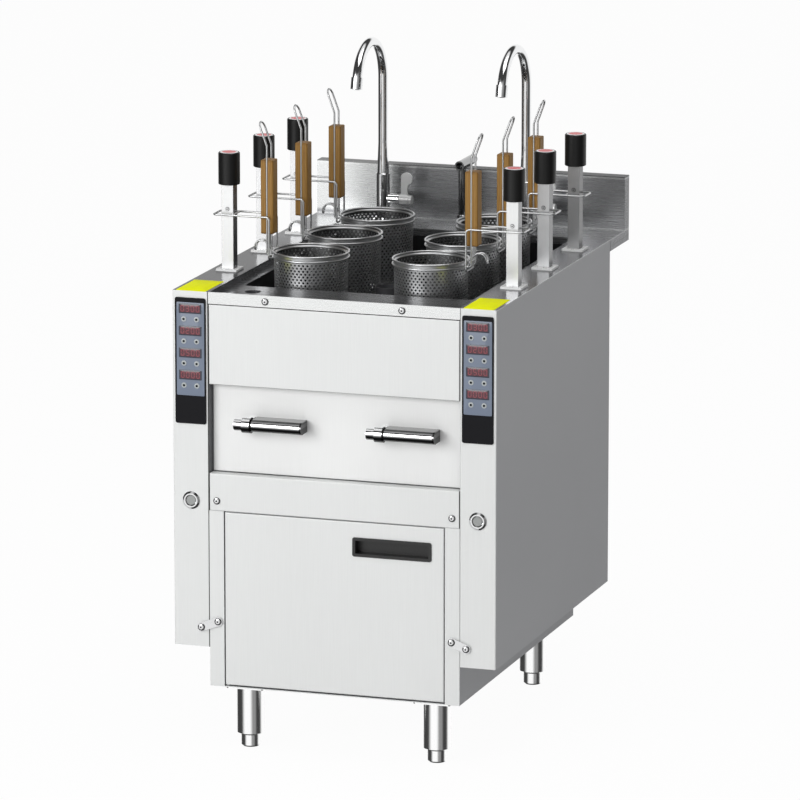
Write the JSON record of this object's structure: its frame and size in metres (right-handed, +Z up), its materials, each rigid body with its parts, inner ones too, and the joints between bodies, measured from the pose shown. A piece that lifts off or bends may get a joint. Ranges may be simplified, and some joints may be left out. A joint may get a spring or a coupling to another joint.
{
  "type": "pasta cooker",
  "caption": "Floor-standing electric pasta cooker with post lifts that raise round strainers with wooden grips out of an open tank, swivel water taps, a drawer and a cupboard.",
  "frame": {"origin": "centre of the overall bounding box at floor level", "axes": "+Z up, the front with the door and the drawer faces -Y, +X to the viewer's right"},
  "size_m": [0.6, 0.84, 1.186],
  "materials": {
    "brushed_white": "light brushed stainless front",
    "brushed_deck": "reflective brushed stainless worktop",
    "brushed_grey": "satin stainless sheet",
    "tank_steel": "dark used stainless tank",
    "polished_steel": "polished stainless",
    "wire_steel": "electropolished wire",
    "strainer_steel": "satin perforated sheet",
    "chrome": "bright chrome plate",
    "black_plastic": "satin black",
    "panel_black": "glossy membrane overlay",
    "button_plastic": "pale translucent button",
    "grip_wood": "oiled light wood",
    "dark_metal": "painted motor housings",
    "pipe_grey": "grey drain pipe",
    "red_vinyl": "dipped valve lever",
    "element_steel": "matt sheathed element"
  },
  "bodies": {
    "base": {"left_column": "brushed_white", "right_column": "brushed_white", "worktop": "brushed_deck", "tank": "tank_steel", "heating_elements": "element_steel", "front_panels": "brushed_white", "cabinet": "brushed_grey", "leg_tubes": "polished_steel", "levelling_feet": "polished_steel", "control_modules": "panel_black", "button_bezels": "chrome", "deck_water_fittings": "chrome", "front_screws": "polished_steel", "lift_actuators": "dark_metal", "post_guides": "polished_steel", "drain_pipes": "pipe_grey"},
    "door": {"door": "brushed_white", "door_pull": "black_plastic"},
    "drawer": {"drawer": "brushed_white", "drawer_pulls": "chrome", "drawer_electrics": "dark_metal"},
    "left_start_button": {"left_start_button": "button_plastic"},
    "right_start_button": {"right_start_button": "button_plastic"},
    "left_tap_spout": {"left_tap_spout": "chrome"},
    "right_tap_spout": {"right_tap_spout": "chrome"},
    "left_tap_lever": {"left_tap_lever": "chrome"},
    "right_tap_lever": {"right_tap_lever": "chrome"},
    "left_latch": {"left_latch": "polished_steel"},
    "right_latch": {"right_latch": "polished_steel"},
    "drain_valve_lever": {"drain_valve_lever": "red_vinyl"},
    "lift_left_1": {"lift_post_left_1": "polished_steel", "post_cap_left_1": "black_plastic", "basket_bracket_left_1": "wire_steel"},
    "strainer_left_1": {"strainer_left_1": "strainer_steel", "grip_left_1": "grip_wood"},
    "lift_left_2": {"lift_post_left_2": "polished_steel", "post_cap_left_2": "black_plastic", "basket_bracket_left_2": "wire_steel"},
    "strainer_left_2": {"strainer_left_2": "strainer_steel", "grip_left_2": "grip_wood"},
    "lift_left_3": {"lift_post_left_3": "polished_steel", "post_cap_left_3": "black_plastic", "basket_bracket_left_3": "wire_steel"},
    "strainer_left_3": {"strainer_left_3": "strainer_steel", "grip_left_3": "grip_wood"},
    "lift_right_1": {"lift_post_right_1": "polished_steel", "post_cap_right_1": "black_plastic", "basket_bracket_right_1": "wire_steel"},
    "strainer_right_1": {"strainer_right_1": "strainer_steel", "grip_right_1": "grip_wood"},
    "lift_right_2": {"lift_post_right_2": "polished_steel", "post_cap_right_2": "black_plastic", "basket_bracket_right_2": "wire_steel"},
    "strainer_right_2": {"strainer_right_2": "strainer_steel", "grip_right_2": "grip_wood"},
    "lift_right_3": {"lift_post_right_3": "polished_steel", "post_cap_right_3": "black_plastic", "basket_bracket_right_3": "wire_steel"},
    "strainer_right_3": {"strainer_right_3": "strainer_steel", "grip_right_3": "grip_wood"}
  },
  "joints": [
    {"name": "lift_left_1", "type": "slide", "parent": "base", "child": "lift_left_1", "axis": [0, 0, 1], "range_m": [0, 0.11]},
    {"name": "strainer_left_1_lift_out", "type": "slide", "parent": "lift_left_1", "child": "strainer_left_1", "axis": [0, 0, 1], "range_m": [0, 0.25]},
    {"name": "lift_left_2", "type": "slide", "parent": "base", "child": "lift_left_2", "axis": [0, 0, 1], "range_m": [0, 0.11]},
    {"name": "strainer_left_2_lift_out", "type": "slide", "parent": "lift_left_2", "child": "strainer_left_2", "axis": [0, 0, 1], "range_m": [0, 0.25]},
    {"name": "lift_left_3", "type": "slide", "parent": "base", "child": "lift_left_3", "axis": [0, 0, 1], "range_m": [0, 0.11]},
    {"name": "strainer_left_3_lift_out", "type": "slide", "parent": "lift_left_3", "child": "strainer_left_3", "axis": [0, 0, 1], "range_m": [0, 0.105]},
    {"name": "lift_right_1", "type": "slide", "parent": "base", "child": "lift_right_1", "axis": [0, 0, 1], "range_m": [0, 0.11]},
    {"name": "strainer_right_1_lift_out", "type": "slide", "parent": "lift_right_1", "child": "strainer_right_1", "axis": [0, 0, 1], "range_m": [0, 0.25]},
    {"name": "lift_right_2", "type": "slide", "parent": "base", "child": "lift_right_2", "axis": [0, 0, 1], "range_m": [0, 0.11]},
    {"name": "strainer_right_2_lift_out", "type": "slide", "parent": "lift_right_2", "child": "strainer_right_2", "axis": [0, 0, 1], "range_m": [0, 0.25]},
    {"name": "lift_right_3", "type": "slide", "parent": "base", "child": "lift_right_3", "axis": [0, 0, 1], "range_m": [0, 0.11]},
    {"name": "strainer_right_3_lift_out", "type": "slide", "parent": "lift_right_3", "child": "strainer_right_3", "axis": [0, 0, 1], "range_m": [0, 0.105]},
    {"name": "door_swing", "type": "hinge", "parent": "base", "child": "door", "pos_m": [-0.2004, -0.3944, 0.275], "axis": [0, 0, -1], "range_deg": [0, 105]},
    {"name": "drawer_pull_out", "type": "slide", "parent": "base", "child": "drawer", "axis": [0, -1, 0], "range_m": [0, 0.3]},
    {"name": "left_start_press", "type": "slide", "parent": "base", "child": "left_start_button", "axis": [0, 1, 0], "range_m": [0, 0.003], "stiffness_N_per_m": 500},
    {"name": "right_start_press", "type": "slide", "parent": "base", "child": "right_start_button", "axis": [0, 1, 0], "range_m": [0, 0.003], "stiffness_N_per_m": 500},
    {"name": "left_spout_swing", "type": "hinge", "parent": "base", "child": "left_tap_spout", "pos_m": [-0.155, 0.347, 0.909], "axis": [0, 0, 1], "range_deg": [-3, 85]},
    {"name": "right_spout_swing", "type": "hinge", "parent": "base", "child": "right_tap_spout", "pos_m": [0.123, 0.347, 0.909], "axis": [0, 0, 1], "range_deg": [-85, 10]},
    {"name": "left_tap_lever_turn", "type": "hinge", "parent": "base", "child": "left_tap_lever", "pos_m": [-0.107, 0.347, 0.872], "axis": [1, 0, 0], "range_deg": [0, 85]},
    {"name": "right_tap_lever_turn", "type": "hinge", "parent": "base", "child": "right_tap_lever", "pos_m": [0.171, 0.347, 0.872], "axis": [1, 0, 0], "range_deg": [0, 85]},
    {"name": "left_latch_swing", "type": "hinge", "parent": "base", "child": "left_latch", "pos_m": [-0.2165, -0.4003, 0.233], "axis": [0, 1, 0], "range_deg": [0, 100]},
    {"name": "right_latch_swing", "type": "hinge", "parent": "base", "child": "right_latch", "pos_m": [0.246, -0.4003, 0.219], "axis": [0, 1, 0], "range_deg": [0, 120]},
    {"name": "drain_valve_turn", "type": "hinge", "parent": "base", "child": "drain_valve_lever", "pos_m": [0, 0.152, 0.38], "axis": [0, 1, 0], "range_deg": [0, 90]}
  ]
}
